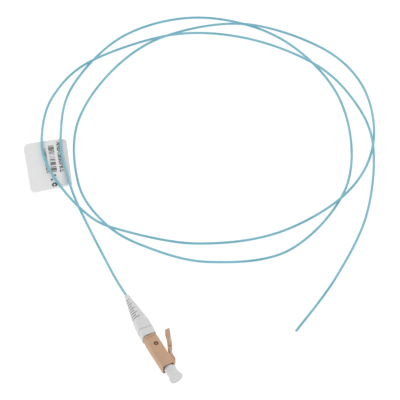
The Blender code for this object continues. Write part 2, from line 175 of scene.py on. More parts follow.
def grown(name, data, tree, values):
    """The plain mesh that a tree makes of some curve or mesh data, with the given values by input name."""
    holder = bpy.data.objects.new(name + "_source", data)
    bpy.context.scene.collection.objects.link(holder)
    modifier = holder.modifiers.new("nodes", "NODES")
    modifier.node_group = tree
    for item in tree.interface.items_tree:
        if item.in_out == "INPUT" and item.name in values:
            modifier[item.identifier] = values[item.name]
    bpy.context.view_layer.update()
    evaluated = holder.evaluated_get(bpy.context.evaluated_depsgraph_get())
    mesh = bpy.data.meshes.new_from_object(evaluated)
    mesh.name = name
    holder.modifiers.remove(modifier)
    bpy.data.objects.remove(holder, do_unlink=True)
    return mesh


def place_piece(name, mesh, material, body, sharp_degrees=35.0):
    """Puts a finished mesh in the scene at the origin and rides it on its body."""
    mesh.materials.clear()
    mesh.materials.append(material)
    mesh.shade_smooth()
    mesh.set_sharp_from_angle(angle=math.radians(sharp_degrees))
    piece = bpy.data.objects.new(name, mesh)
    bpy.context.scene.collection.objects.link(piece)
    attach(piece, body)
    return piece


def new_material(name, metallic=0.0, coat=0.0, specular=0.5):
    """A material with a Principled shader and the values that are the same all over it."""
    material = bpy.data.materials.new(name)
    material.use_nodes = True
    shader = material.node_tree.nodes["Principled BSDF"]
    shader.inputs["Metallic"].default_value = metallic
    shader.inputs["Coat Weight"].default_value = coat
    shader.inputs["Specular IOR Level"].default_value = specular
    return material


def dress(material, colour=None, roughness=None, normal=None):
    """Feeds the links given to a material's shader, and gives the material back."""
    shader = material.node_tree.nodes["Principled BSDF"]
    for name, link in (("Base Color", colour), ("Roughness", roughness), ("Normal", normal)):
        if link is not None:
            material.node_tree.links.new(link, shader.inputs[name])
    return material


def mixed(tree, share, first, second):
    """The first colour faded into the second by a share; a colour is three values or a link."""
    colours = [(*one, 1.0) if isinstance(one, tuple) else one for one in (first, second)]
    fed = zip(("Factor", "A", "B"), (share, *colours))
    return add_node(tree, "ShaderNodeMix", fed, data_type="RGBA").outputs["Result"]


def spread(tree, value, low, high, start=0.0, end=1.0):
    """A value from low to high spread evenly from start to end, and held there beyond."""
    fed = zip(("Value", "From Min", "From Max", "To Min", "To Max"), (value, low, high, start, end))
    return add_node(tree, "ShaderNodeMapRange", fed).outputs["Result"]


def noise(tree, place, scale, detail, roughness=0.5):
    fed = zip(("Vector", "Scale", "Detail", "Roughness"), (place, scale, detail, roughness))
    return add_node(tree, "ShaderNodeTexNoise", fed).outputs["Fac"]


def bumped(tree, height, strength, distance):
    fed = zip(("Height", "Strength", "Distance"), (height, strength, distance))
    return add_node(tree, "ShaderNodeBump", fed).outputs["Normal"]


def on_piece(tree):
    """The place on the piece, in its own coordinates."""
    return tree.nodes.new("ShaderNodeTexCoord").outputs["Object"]


def far_from(tree, place, point):
    """How far a place lies from a fixed point."""
    fed = enumerate((place, point))
    return add_node(tree, "ShaderNodeVectorMath", fed, operation="DISTANCE").outputs["Value"]


def kept(tree, curve, kind, name, value):
    """A value captured on each point of a curve, as (curve, captured value)."""
    capture = add_node(tree, "GeometryNodeCaptureAttribute", domain="POINT")
    capture.capture_items.new(kind, name)
    tree.links.new(curve, capture.inputs["Geometry"])
    tree.links.new(value, capture.inputs[name])
    return capture.outputs["Geometry"], capture.outputs[name]


def cord_tree():
    """Sweeps a round section along the cord's curve and keeps each place along and round it."""
    tree, given, result = new_tree("cord_sweep", [
        ("Radius", "NodeSocketFloat", 0.0),
        ("Step", "NodeSocketFloat", 0.0),
        ("Sides", "NodeSocketInt", 12),
        ("Finish", "NodeSocketMaterial", None),
    ])
    resample = add_node(tree, "GeometryNodeResampleCurve", mode="LENGTH", inputs=[
        ("Curve", given["Geometry"]), ("Length", given["Step"]),
    ])
    travelled = tree.nodes.new("GeometryNodeSplineParameter").outputs["Length"]
    path, along = kept(tree, resample.outputs["Curve"], "FLOAT", "Along", travelled)
    circle = add_node(tree, "GeometryNodeCurvePrimitiveCircle", mode="RADIUS", inputs=[
        ("Resolution", given["Sides"]), ("Radius", given["Radius"]),
    ])
    spot = tree.nodes.new("GeometryNodeInputPosition").outputs["Position"]
    section, around = kept(tree, circle.outputs["Curve"], "VECTOR", "Around", spot)
    sweep = add_node(tree, "GeometryNodeCurveToMesh", [
        ("Curve", path), ("Profile Curve", section), ("Fill Caps", True),
    ])
    split = add_node(tree, "ShaderNodeSeparateXYZ", [("Vector", around)])
    joined = add_node(tree, "ShaderNodeCombineXYZ", [
        ("X", along), ("Y", split.outputs["X"]), ("Z", split.outputs["Y"]),
    ]).outputs["Vector"]
    placed = (("Geometry", sweep.outputs["Mesh"]), ("Name", "cord_place"), ("Value", joined))
    store = add_node(
        tree, "GeometryNodeStoreNamedAttribute", placed, data_type="FLOAT_VECTOR", domain="POINT")
    end_tree(tree, store.outputs["Geometry"], given["Finish"], result)
    return tree


def buffer_material(cut_end):
    """Satin extruded buffer: faint draw lines, slow colour drift, and the pale fibre in the cut end."""
    material = new_material("aqua_buffer", specular=0.45)
    tree = material.node_tree
    place = add_node(tree, "ShaderNodeAttribute", attribute_name="cord_place").outputs["Vector"]

    def streaks(along, around, detail):
        """Noise with a scale along the cord and another round it."""
        stretched = add_node(tree, "ShaderNodeMapping", [
            ("Vector", place), ("Scale", (along, around, around)),
        ])
        return noise(tree, stretched.outputs["Vector"], 1.0, detail)

    draw = streaks(*DRAW_LINES)
    drift = streaks(*COLOUR_DRIFT)
    tint = mixed(tree, spread(tree, drift, 0.35, 0.6), AQUA_DEEP, AQUA)
    core = number_node(tree, "LESS_THAN", far_from(tree, on_piece(tree), cut_end), GLASS_COAT_DIAMETER / 2)
    return dress(
        material,
        colour=mixed(tree, core, tint, GLASS_COAT),
        roughness=spread(tree, draw, 0.0, 1.0, *BUFFER_ROUGHNESS),
        normal=bumped(tree, draw, 0.25, DRAW_LINE_DEPTH),
    )


route = [Vector(point) * MM for point in CORD_ROUTE]
route[0] = BOOT_PLACE @ Vector((CORD_START_INSIDE - BOOT_LENGTH, 0.0, 0.0))
SPANS = len(route) - 1
FINE_STEPS = 3000
cord_line = [route_point(route, SPANS * step / FINE_STEPS) for step in range(FINE_STEPS + 1)]
cord_curve = bpy.data.curves.new("fibre_route", "CURVE")
cord_curve.dimensions = "3D"
cord_spline = cord_curve.splines.new("POLY")
cord_spline.points.add(FINE_STEPS)
for spot, point in zip(cord_spline.points, cord_line):
    spot.co = (*point, 1.0)
buffer_finish = buffer_material(cord_line[-1])
cord_mesh = grown("fibre_buffer", cord_curve, cord_tree(), {
    "Radius": CORD_DIAMETER / 2,
    "Step": CORD_STEP,
    "Sides": CORD_SIDES,
    "Finish": buffer_finish,
})
cord = place_piece("fibre_buffer", cord_mesh, buffer_finish, "pigtail", 60.0)
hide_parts("fibre_cord")


# Plug housing: one beige moulding, a 4.5 mm square body with its long edges cut off, a round socket in
# front for the ferrule, and the latch lever that springs from near the front and ends in a free tail.
BEIGE = (0.545, 0.353, 0.236)
BEIGE_LIGHT = (0.600, 0.390, 0.262)
# The paler colour of the highlight painted along the housing's sharp edges, and the pointiness range it
# spans.
BEIGE_EDGE_HIGHLIGHT = (0.720, 0.495, 0.330)
EDGE_HIGHLIGHT_FROM = 0.54
EDGE_HIGHLIGHT_TO = 0.60
GRAIN_DEPTH = 0.01 * MM
HOUSING_HALF = 2.25 * MM
HOUSING_CHAMFER = 0.2 * MM
HOUSING_LENGTH = 13.2 * MM
MOULD_ROUND = 0.09 * MM
SOCKET_RADIUS = 1.9 * MM
SOCKET_DEPTH = 7.6 * MM
SOCKET_LIP = 0.12 * MM
POCKET_HALF = 1.95 * MM
POCKET_CORNER = 0.45 * MM
POCKET_DEPTH = 0.9 * MM
REAR_BORE_RADIUS = 1.7 * MM
REAR_BORE_DEPTH = 3.2 * MM
ROOT_HALF_WIDTH = 1.6 * MM
ROOT_HEIGHT = 1.3 * MM
ROOT_START = 0.3 * MM
ROOT_SINK = 0.45 * MM
ROOT_END = 5.0 * MM
LEVER_HALF_WIDTH = 1.7 * MM
LEVER_OVERLAP = 0.8 * MM
LEVER_WAVE_SHARE = 0.06
NECK_THICKNESS = 0.75 * MM
TAIL_THICKNESS = 1.7 * MM
TAIL_RISE = 3.65 * MM
TAIL_END = 13.95 * MM
SHOULDER_HALF_WIDTH = 2.2 * MM
SHOULDER_START = 7.0 * MM
SHOULDER_LENGTH = 2.3 * MM
SHOULDER_STEP = 0.5 * MM
STRAIGHT_ENOUGH = math.radians(170.0)
MARK_PLACE = Vector((4.63, -2.05, 4.89)) * MM
MARK_RADIUS = 0.54 * MM
MARK_STROKE = 0.54 * MM
MARK_INK = (0.045, 0.034, 0.028)

HOUSING_REAR_X = FRONT_X - HOUSING_LENGTH


def soft_corners(outline, radius, steps=4):
    """A closed outline with each true corner turned into an arc, as wide as its sides leave room for."""
    soft = []
    count = len(outline)
    for number, corner in enumerate(outline):
        corner = Vector(corner)
        back = Vector(outline[number - 1]) - corner
        on = Vector(outline[(number + 1) % count]) - corner
        angle = back.angle(on)
        if angle > STRAIGHT_ENOUGH:
            soft.append(tuple(corner))
            continue
        reach = min(radius / math.tan(angle / 2), back.length * 0.45, on.length * 0.45)
        fit = reach * math.tan(angle / 2)
        middle = corner + (back.normalized() + on.normalized()).normalized() * (fit / math.sin(angle / 2))
        start = corner + back.normalized() * reach - middle
        end = corner + on.normalized() * reach - middle
        for step in range(steps + 1):
            share = step / steps
            turn = start.slerp(end, share) if start.angle(end) > 0.01 else start.lerp(end, share)
            soft.append(tuple(middle + turn.normalized() * fit))
    return soft


def shrunk(outline, distance):
    """The outline moved inwards all round by a small distance; it runs anticlockwise."""
    inner = []
    count = len(outline)
    for number, corner in enumerate(outline):
        corner = Vector(corner)
        before = (corner - Vector(outline[number - 1])).normalized()
        after = (Vector(outline[(number + 1) % count]) - corner).normalized()
        inward_before = Vector((-before.y, before.x))
        inward_after = Vector((-after.y, after.x))
        middle = (inward_before + inward_after).normalized()
        inner.append(corner + middle * distance / max(middle.dot(inward_after), 0.3))
    return inner


def skin(rings):
    """A closed mesh over rings of equal point counts, each end closed by a face."""
    made = bmesh.new()
    loops = [[made.verts.new(point) for point in ring] for ring in rings]
    count = len(loops[0])
    for first, second in zip(loops, loops[1:]):
        for number in range(count):
            after = (number + 1) % count
            made.faces.new((first[number], first[after], second[after], second[number]))
    made.faces.new(loops[0])
    made.faces.new(loops[-1])
    bmesh.ops.recalc_face_normals(made, faces=made.faces)
    mesh = bpy.data.meshes.new("skin")
    made.to_mesh(mesh)
    made.free()
    return mesh


def rounding(radius, first, steps):
    """Steps of a quarter round from its flat face, as (how far along the side, how far in from it)."""
    angles = [math.pi / 2 * step / steps for step in range(first, steps + 1)]
    return [(radius * (1 - math.cos(angle)), radius * (1 - math.sin(angle))) for angle in angles]


def slab(outline, low, high, radius, place, steps=3):
    """An outline given thickness from low to high along its plane's third direction, its rims rounded."""
    levels = [(low + along, inset) for along, inset in rounding(radius, 0, steps)]
    levels += [(high - (level - low), inset) for level, inset in levels[::-1]]
    rings = []
    for level, inset in levels:
        rings.append([place @ Vector((*point[:2], level)) for point in shrunk(outline, inset)])
    return skin(rings)


def turned(profile, sides=72):
    """A solid turned about the plug's axis from (place along X, radius) pairs, closed at both ends."""
    rings = []
    for along, radius in profile:
        ring = []
        for side in range(sides):
            angle = 2 * math.pi * side / sides
            across, up = radius * math.cos(angle), radius * math.sin(angle)
            ring.append(Vector((along, AXIS_Y + across, AXIS_Z + up)))
        rings.append(ring)
    return skin(rings)


def carved(name, blank, changes):
    """A blank mesh joined with or cut by other meshes, in order, as one plain mesh."""
    body = bpy.data.objects.new(name, blank)
    bpy.context.scene.collection.objects.link(body)
    tools = []
    for number, (operation, mesh) in enumerate(changes):
        tool = bpy.data.objects.new(f"{name}_tool_{number + 1}", mesh)
        bpy.context.scene.collection.objects.link(tool)
        tools.append(tool)
        change = body.modifiers.new(f"change_{number + 1}", "BOOLEAN")
        change.operation = operation
        change.solver = "EXACT"
        change.object = tool
    bpy.context.view_layer.update()
    evaluated = body.evaluated_get(bpy.context.evaluated_depsgraph_get())
    mesh = bpy.data.meshes.new_from_object(evaluated)
    mesh.name = name
    for item in [body, *tools]:
        bpy.data.objects.remove(item, do_unlink=True)
    return mesh


ACROSS = Matrix.Translation((0.0, AXIS_Y, AXIS_Z))
ACROSS @= Matrix(((0, 0, 1, 0), (1, 0, 0, 0), (0, 1, 0, 0), (0, 0, 0, 1)))
FROM_THE_SIDE = Matrix.Translation((0.0, 0.0, AXIS_Z))


def square_section(chamfer):
    """The 4.5 mm square section with its four long edges cut off and softened."""
    half = HOUSING_HALF
    flat = half - chamfer
    corners = [(half, -flat), (half, flat), (flat, half), (-flat, half),
               (-half, flat), (-half, -flat), (-flat, -half), (flat, -half)]
    return soft_corners(corners, MOULD_ROUND * 1.5)


def on_side(behind_front, above_side):
    """A point of the latch's side view: distance behind the front, height over the housing's side."""
    return (FRONT_X - behind_front, AXIS_Y + HOUSING_HALF + above_side)


def lever_share(along):
    start = ROOT_END - LEVER_OVERLAP
    return (along - start) / (TAIL_END - start)


def lever_inner(along):
    share = lever_share(along)
    start = ROOT_HEIGHT - NECK_THICKNESS
    wave = LEVER_WAVE_SHARE * math.sin(share * math.pi * 2.0)
    return start + (TAIL_RISE - start) * (share - wave)


def lever_outer(along):
    return lever_inner(along) + NECK_THICKNESS + (TAIL_THICKNESS - NECK_THICKNESS) * lever_share(along)


def anticlockwise(outline):
    area = sum(one[0] * two[1] - two[0] * one[1] for one, two in zip(outline, outline[1:] + outline[:1]))
    return outline if area > 0 else outline[::-1]


def latch_meshes():
    """Root, lever and locking shoulders, each a slab seen from the side with softened edges."""
    root = [
        on_side(ROOT_START, -ROOT_SINK),
        on_side(ROOT_START, 0.0),
        on_side(ROOT_START + ROOT_HEIGHT, ROOT_HEIGHT),
        on_side(ROOT_END, ROOT_HEIGHT),
        on_side(ROOT_END - NECK_THICKNESS / 2, ROOT_HEIGHT / 4),
        on_side(ROOT_END - NECK_THICKNESS / 2, -ROOT_SINK),
    ]
    start = ROOT_END - LEVER_OVERLAP
    stations = [start + (TAIL_END - start) * step / 14 for step in range(15)]
    inner = [on_side(along, lever_inner(along)) for along in stations]
    outer = [on_side(along, lever_outer(along)) for along in stations]
    end = SHOULDER_START + SHOULDER_LENGTH
    sunk = NECK_THICKNESS * 0.3
    shoulder = [
        on_side(SHOULDER_START, lever_inner(SHOULDER_START) + sunk),
        on_side(SHOULDER_START, lever_outer(SHOULDER_START) + SHOULDER_STEP),
        on_side(end, lever_outer(end) + SHOULDER_STEP / 2),
        on_side(end, lever_inner(end) + sunk),
    ]
    made = []
    for outline, half_width in (
        (root, ROOT_HALF_WIDTH),
        (inner + outer[::-1], LEVER_HALF_WIDTH),
        (shoulder, SHOULDER_HALF_WIDTH),
    ):
        soft = soft_corners(anticlockwise(outline), MOULD_ROUND * 1.3)
        made.append(slab(soft, -half_width, half_width, MOULD_ROUND, FROM_THE_SIDE))
    return made


def moulded_group():
    """Moulded plastic skin: fine spark-eroded grain, slow mottling, handling gloss, and shade painted
    darker into its hollows.
    """
    tree = bpy.data.node_groups.new("moulded_skin", "ShaderNodeTree")
    for label, kind, value in (
        ("Colour", "NodeSocketColor", (0.5, 0.5, 0.5, 1.0)),
        ("Second colour", "NodeSocketColor", (0.6, 0.6, 0.6, 1.0)),
        ("Grain scale", "NodeSocketFloat", 9000.0),
        ("Mottle scale", "NodeSocketFloat", 500.0),
        ("Roughness", "NodeSocketFloat", 0.45),
        ("Roughness spread", "NodeSocketFloat", 0.12),
        ("Painted hollow shade", "NodeSocketFloat", 0.0),
        ("Painted shade reach", "NodeSocketFloat", 1.5 * MM),
    ):
        socket = tree.interface.new_socket(label, in_out="INPUT", socket_type=kind)
        socket.default_value = value
    given = tree.nodes.new("NodeGroupInput").outputs
    grain = noise(tree, on_piece(tree), given["Grain scale"], 3.0, 0.6)
    mottle = noise(tree, on_piece(tree), given["Mottle scale"], 5.0, 0.55)
    tint = mixed(tree, spread(tree, mottle, 0.3, 0.7), given["Colour"], given["Second colour"])
    # Painted shade: the colour is darkened where ambient occlusion finds a hollow or a nearby part.
    hollow = add_node(tree, "ShaderNodeAmbientOcclusion", [("Distance", given["Painted shade reach"])], samples=8)
    closed = spread(tree, hollow.outputs["AO"], 0.85, 0.25)
    shade = number_node(tree, "MULTIPLY", closed, given["Painted hollow shade"])
    level = number_node(tree, "SUBTRACT", mottle, 0.5)
    rough = number_node(tree, "MULTIPLY_ADD", level, given["Roughness spread"], given["Roughness"])
    result = tree.nodes.new("NodeGroupOutput")
    for label, kind, link in (
        ("Colour", "NodeSocketColor", mixed(tree, shade, tint, (0.0, 0.0, 0.0))),
        ("Roughness", "NodeSocketFloat", rough),
        ("Height", "NodeSocketFloat", grain),
    ):
        tree.interface.new_socket(label, in_out="OUTPUT", socket_type=kind)
        tree.links.new(link, result.inputs[label])
    return tree


MOULDED_SKIN = moulded_group()


def moulded_material(name, colour, second, roughness, grain, hollow, specular):
    """Plastic with the moulded skin and its painted hollow shade, as (material, skin node)."""
    material = new_material(name, specular=specular)
    tree = material.node_tree
    # hollow sets how dark the shade painted into the hollows is.
    skin = add_node(tree, "ShaderNodeGroup", node_tree=MOULDED_SKIN, inputs=[
        ("Colour", (*colour, 1.0)), ("Second colour", (*second, 1.0)),
        ("Roughness", roughness), ("Painted hollow shade", hollow),
    ])
    given = skin.outputs
    relief = bumped(tree, given["Height"], grain, GRAIN_DEPTH)
    return dress(material, given["Colour"], given["Roughness"], relief), skin


def housing_material():
    """Beige moulding with a highlight painted paler along its sharp edges, and one printed ring on its
    upper side.
    """
    material, skin = moulded_material(
        "beige_plastic", BEIGE, BEIGE_LIGHT, roughness=0.48, grain=0.3, hollow=0.4, specular=0.03)
    tree = material.node_tree
    # Painted highlight: sharp edges, found by their pointiness, are turned paler.
    edge = tree.nodes.new("ShaderNodeNewGeometry").outputs["Pointiness"]
    edge_lit = mixed(tree, spread(tree, edge, EDGE_HIGHLIGHT_FROM, EDGE_HIGHLIGHT_TO), skin.outputs["Colour"], BEIGE_EDGE_HIGHLIGHT)
    off_ring = number_node(tree, "SUBTRACT", far_from(tree, on_piece(tree), MARK_PLACE), MARK_RADIUS)
    off_ring = number_node(tree, "ABSOLUTE", off_ring)
    ink = spread(tree, off_ring, MARK_STROKE * 0.46, MARK_STROKE * 0.54, 0.9, 0.0)
    return dress(material, colour=mixed(tree, ink, edge_lit, MARK_INK))


beige = housing_material()
socket = turned([
    (FRONT_X + SOCKET_LIP, SOCKET_RADIUS + SOCKET_LIP * 2),
    (FRONT_X, SOCKET_RADIUS + SOCKET_LIP),
    (FRONT_X - SOCKET_LIP, SOCKET_RADIUS),
    (FRONT_X - SOCKET_DEPTH, SOCKET_RADIUS),
])
rear_bore = turned([
    (HOUSING_REAR_X - SOCKET_LIP, REAR_BORE_RADIUS),
    (HOUSING_REAR_X + REAR_BORE_DEPTH, REAR_BORE_RADIUS),
])
pocket_corners = [
    (POCKET_HALF, -POCKET_HALF), (POCKET_HALF, POCKET_HALF),
    (-POCKET_HALF, POCKET_HALF), (-POCKET_HALF, -POCKET_HALF),
]
pocket = slab(
    soft_corners(pocket_corners, POCKET_CORNER),
    FRONT_X - POCKET_DEPTH, FRONT_X + POCKET_DEPTH, MOULD_ROUND, ACROSS,
)
housing_mesh = carved(
    "housing_and_latch",
    slab(square_section(HOUSING_CHAMFER), HOUSING_REAR_X, FRONT_X, MOULD_ROUND, ACROSS),
    [("UNION", mesh) for mesh in latch_meshes()] + [
        ("DIFFERENCE", socket), ("DIFFERENCE", pocket), ("DIFFERENCE", rear_bore),
    ],
)
housing = place_piece("housing_and_latch", housing_mesh, beige, "pigtail", 30.0)
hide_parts("connector_housing")


# Rear body: a second beige moulding snapped into the back of the housing. Its thin square flange shows
# as a ring behind the seam, and its round neck carries the boot.
FLANGE_LENGTH = 0.9 * MM
FIT_GAP = 0.2 * MM
SEAM_GAP = 0.07 * MM
FLANGE_CHAMFER = 0.75 * MM
REAR_NECK_RADIUS = 1.7 * MM
REAR_NECK_LENGTH = 2.6 * MM
REAR_STEM_RADIUS = 1.5 * MM
REAR_STEM_LENGTH = 3.0 * MM

FLANGE_FRONT_X = HOUSING_REAR_X - FIT_GAP
FLANGE_REAR_X = FLANGE_FRONT_X - FLANGE_LENGTH
rear_mesh = carved(
    "rear_body_ring",
    slab(square_section(FLANGE_CHAMFER), FLANGE_REAR_X, HOUSING_REAR_X - SEAM_GAP, MOULD_ROUND, ACROSS),
    [("UNION", turned([
        (HOUSING_REAR_X + REAR_STEM_LENGTH, REAR_STEM_RADIUS),
        (FLANGE_FRONT_X - FLANGE_LENGTH / 3, REAR_STEM_RADIUS),
        (FLANGE_FRONT_X - FLANGE_LENGTH / 2, REAR_NECK_RADIUS),
        (FLANGE_REAR_X - REAR_NECK_LENGTH, REAR_NECK_RADIUS),
    ]))],
)
rear_body = place_piece("rear_body_ring", rear_mesh, beige, "pigtail", 30.0)
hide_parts("rear_body")


# Boot: soft white strain relief, moulded in one piece and pushed over the rear neck, a little askew on it.
# A tapered sleeve with nine rings of slots lets it bend, then swells to a rounded square with four flats.
BOOT_WHITE = (0.688, 0.690, 0.692)
BOOT_WHITE_WARM = (0.722, 0.723, 0.722)
BOOT_TIP_RADIUS = 0.88 * MM
BOOT_TIP_ROUND = 0.3 * MM
BOOT_SWELL_HALF = 2.64 * MM
BOOT_SWELL_POWER = 5.0
BOOT_COLLAR_LENGTH = 3.2 * MM
BOOT_COLLAR_HALF = 2.55 * MM
BOOT_COLLAR_POWER = 8.0
BOOT_RIM_POWER = 5.5
GROOVE_HALF = 2.38 * MM
GROOVE_WIDTH = 0.34 * MM
BOOT_EDGE = 0.1 * MM
BOOT_BORE_RADIUS = 1.95 * MM
BOOT_BORE_DEPTH = 2.6 * MM
TIP_HOLE_RADIUS = 0.5 * MM
TIP_HOLE_DEPTH = 0.8 * MM
SLOT_LEVELS = 9
SLOT_FIRST = 2.6 * MM
SLOT_PITCH = 1.09 * MM
SLOT_WIDTH = 0.42 * MM
SLOT_CORE_RADIUS = 0.7 * MM
SLOT_WEB_DEGREES = 24.0
SLOT_TURN_DEGREES = 8.0
SLOT_WALL_FROM = 0.42
SLOT_WALL_TO = 0.56
SLOT_EDGES = (SLOT_WALL_FROM, 0.46, 0.49, 0.52, SLOT_WALL_TO, 0.6, 0.85)
SLOT_SHALLOW_SHARE = 0.95
SHALLOW_FROM = -0.45
SHALLOW_TO = 0.2
BRIDGE_EDGE_DEGREES = 2.5
BOOT_SIDES = 144

SLOTS_END = SLOT_FIRST + SLOT_PITCH * (SLOT_LEVELS - 1) + SLOT_WIDTH * SLOT_EDGES[-1]
COLLAR_START = BOOT_LENGTH - BOOT_COLLAR_LENGTH


def boot_ring(from_tip, half, power=2.0):
    """A ring round the boot's own axis: a circle at power 2, and squarer the higher the power."""
    ring = []
    for side in range(BOOT_SIDES):
        angle = 2 * math.pi * side / BOOT_SIDES
        first, second = math.cos(angle), math.sin(angle)
        reach = half / (abs(first) ** power + abs(second) ** power) ** (1 / power)
        ring.append(Vector((from_tip - BOOT_LENGTH, reach * first, reach * second)))
    return ring


def boot_blank():
    """The boot before its slots: from the cord's hole in the tip, over the outside, into the mouth."""
    rings = [
        boot_ring(TIP_HOLE_DEPTH, TIP_HOLE_RADIUS),
        boot_ring(BOOT_EDGE, TIP_HOLE_RADIUS),
        boot_ring(0.0, TIP_HOLE_RADIUS + BOOT_EDGE / 2),
    ]
    for along, inset in rounding(BOOT_TIP_ROUND, 1, 5):
        rings.append(boot_ring(along, BOOT_TIP_RADIUS - inset))
    plain = SLOT_FIRST - SLOT_WIDTH - BOOT_TIP_ROUND
    stations = [BOOT_TIP_ROUND + plain * step / 4 for step in range(1, 4)]
    for level in range(SLOT_LEVELS):
        middle = SLOT_FIRST + SLOT_PITCH * level
        stations.append(middle)
        for edge in SLOT_EDGES:
            stations += [middle - SLOT_WIDTH * edge, middle + SLOT_WIDTH * edge]
    taper = (BOOT_SWELL_HALF - BOOT_TIP_RADIUS) / (SLOTS_END - BOOT_TIP_ROUND)
    for station in sorted(stations):
        rings.append(boot_ring(station, BOOT_TIP_RADIUS + taper * (station - BOOT_TIP_ROUND)))
    for step in range(1, 15):
        share = step / 14
        squared = 1 - (1 - share) ** 2.5
        station = SLOTS_END + (COLLAR_START - SLOTS_END) * share
        rings.append(boot_ring(station, BOOT_SWELL_HALF, 2.0 + (BOOT_SWELL_POWER - 2.0) * squared))
    rings += [
        boot_ring(COLLAR_START + BOOT_EDGE * 0.5, GROOVE_HALF, BOOT_COLLAR_POWER),
        boot_ring(COLLAR_START + GROOVE_WIDTH - BOOT_EDGE, GROOVE_HALF, BOOT_COLLAR_POWER),
    ]
    for step in range(7):
        share = step / 6
        station = COLLAR_START + GROOVE_WIDTH + (BOOT_COLLAR_LENGTH - GROOVE_WIDTH - BOOT_EDGE) * share
        power = BOOT_COLLAR_POWER + (BOOT_RIM_POWER - BOOT_COLLAR_POWER) * share
        rings.append(boot_ring(station, BOOT_COLLAR_HALF, power))
    for inset, from_rim in rounding(BOOT_EDGE, 1, 3):
        rings.append(boot_ring(BOOT_LENGTH - from_rim, BOOT_COLLAR_HALF - inset, BOOT_RIM_POWER))
    rings += [
        boot_ring(BOOT_LENGTH, BOOT_BORE_RADIUS + BOOT_EDGE),
        boot_ring(BOOT_LENGTH - BOOT_EDGE, BOOT_BORE_RADIUS),
        boot_ring(BOOT_LENGTH - BOOT_BORE_DEPTH, BOOT_BORE_RADIUS),
    ]
    return skin(rings)


def slot_tree():
    """Sinks rings of slots into a sleeve along X; the bridges turn a quarter at each ring."""
    tree, given, result = new_tree("boot_slots", [
        ("Tip", "NodeSocketVector", (0.0, 0.0, 0.0)),
        ("First", "NodeSocketFloat", 0.0),
        ("Pitch", "NodeSocketFloat", 1.0),
        ("Levels", "NodeSocketInt", 1),
        ("Width", "NodeSocketFloat", 0.0),
        ("Core radius", "NodeSocketFloat", 0.0),
        ("Bridge degrees", "NodeSocketFloat", 0.0),
        ("Turn degrees", "NodeSocketFloat", 0.0),
        ("Shallow share", "NodeSocketFloat", 0.0),
        ("Finish", "NodeSocketMaterial", None),
    ])

    def number(operation, *values):
        return number_node(tree, operation, *values)

    def eased_step(value, low, high):
        """A smooth step from 0 at low to 1 at high."""
        fed = zip(("Value", "From Min", "From Max"), (value, low, high))
        step = add_node(tree, "ShaderNodeMapRange", fed, interpolation_type="SMOOTHSTEP")
        return step.outputs["Result"]

    place = tree.nodes.new("GeometryNodeInputPosition").outputs["Position"]
    fed = enumerate((place, given["Tip"]))
    from_tip = add_node(tree, "ShaderNodeVectorMath", fed, operation="SUBTRACT").outputs["Vector"]
    parts = add_node(tree, "ShaderNodeSeparateXYZ", [("Vector", from_tip)]).outputs
    past_first = number("SUBTRACT", parts["X"], given["First"])
    nearest = number("ROUND", number("DIVIDE", past_first, given["Pitch"]))
    level = number("MINIMUM", number("MAXIMUM", nearest, 0.0), number("SUBTRACT", given["Levels"], 1.0))
    middle = number("MULTIPLY", level, given["Pitch"])
    offset = number("ABSOLUTE", number("SUBTRACT", past_first, middle))
    wall_from = number("MULTIPLY", given["Width"], SLOT_WALL_FROM)
    wall_to = number("MULTIPLY", given["Width"], SLOT_WALL_TO)
    across = number("SUBTRACT", 1.0, eased_step(offset, wall_from, wall_to))
    angle = number("ARCTAN2", parts["Z"], parts["Y"])
    quarter = number("MULTIPLY", number("MODULO", level, 2.0), 90.0)
    bridge = number("ADD", quarter, given["Turn degrees"])
    past_bridge = number("FLOORED_MODULO", number("SUBTRACT", number("DEGREES", angle), bridge), 180.0)
    from_bridge = number("MINIMUM", past_bridge, number("SUBTRACT", 180.0, past_bridge))
    half_bridge = number("DIVIDE", given["Bridge degrees"], 2.0)
    inner_edge = number("SUBTRACT", half_bridge, BRIDGE_EDGE_DEGREES)
    outer_edge = number("ADD", half_bridge, BRIDGE_EDGE_DEGREES)
    around = eased_step(from_bridge, inner_edge, outer_edge)
    facing = eased_step(number("COSINE", angle), SHALLOW_FROM, SHALLOW_TO)
    full = number("SUBTRACT", 1.0, number("MULTIPLY", given["Shallow share"], facing))
    depth = number("MULTIPLY", number("MULTIPLY", across, around), full)
    flat = add_node(tree, "ShaderNodeCombineXYZ", [("Y", parts["Y"]), ("Z", parts["Z"])]).outputs["Vector"]
    radius = add_node(tree, "ShaderNodeVectorMath", [(0, flat)], operation="LENGTH").outputs["Value"]
    inward = number("SUBTRACT", given["Core radius"], radius)
    share = number("DIVIDE", number("MULTIPLY", inward, depth), radius)
    move = add_node(tree, "ShaderNodeVectorMath", [(0, flat), ("Scale", share)], operation="SCALE")
    sink = add_node(tree, "GeometryNodeSetPosition", [
        ("Geometry", given["Geometry"]), ("Offset", move.outputs["Vector"]),
    ])
    end_tree(tree, sink.outputs["Geometry"], given["Finish"], result)
    return tree


boot_white = moulded_material(
    "white_rubber", BOOT_WHITE, BOOT_WHITE_WARM, roughness=0.6, grain=0.25, hollow=0.1, specular=0.1)[0]
boot_mesh = grown("slotted_boot", boot_blank(), slot_tree(), {
    "Tip": (-BOOT_LENGTH, 0.0, 0.0),
    "First": SLOT_FIRST,
    "Pitch": SLOT_PITCH,
    "Levels": SLOT_LEVELS,
    "Width": SLOT_WIDTH,
    "Core radius": SLOT_CORE_RADIUS,
    "Bridge degrees": SLOT_WEB_DEGREES,
    "Turn degrees": SLOT_TURN_DEGREES,
    "Shallow share": SLOT_SHALLOW_SHARE,
    "Finish": boot_white,
})
boot_mesh.transform(BOOT_PLACE)
boot = place_piece("slotted_boot", boot_mesh, boot_white, "pigtail", 40.0)
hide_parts("strain_relief_boot")


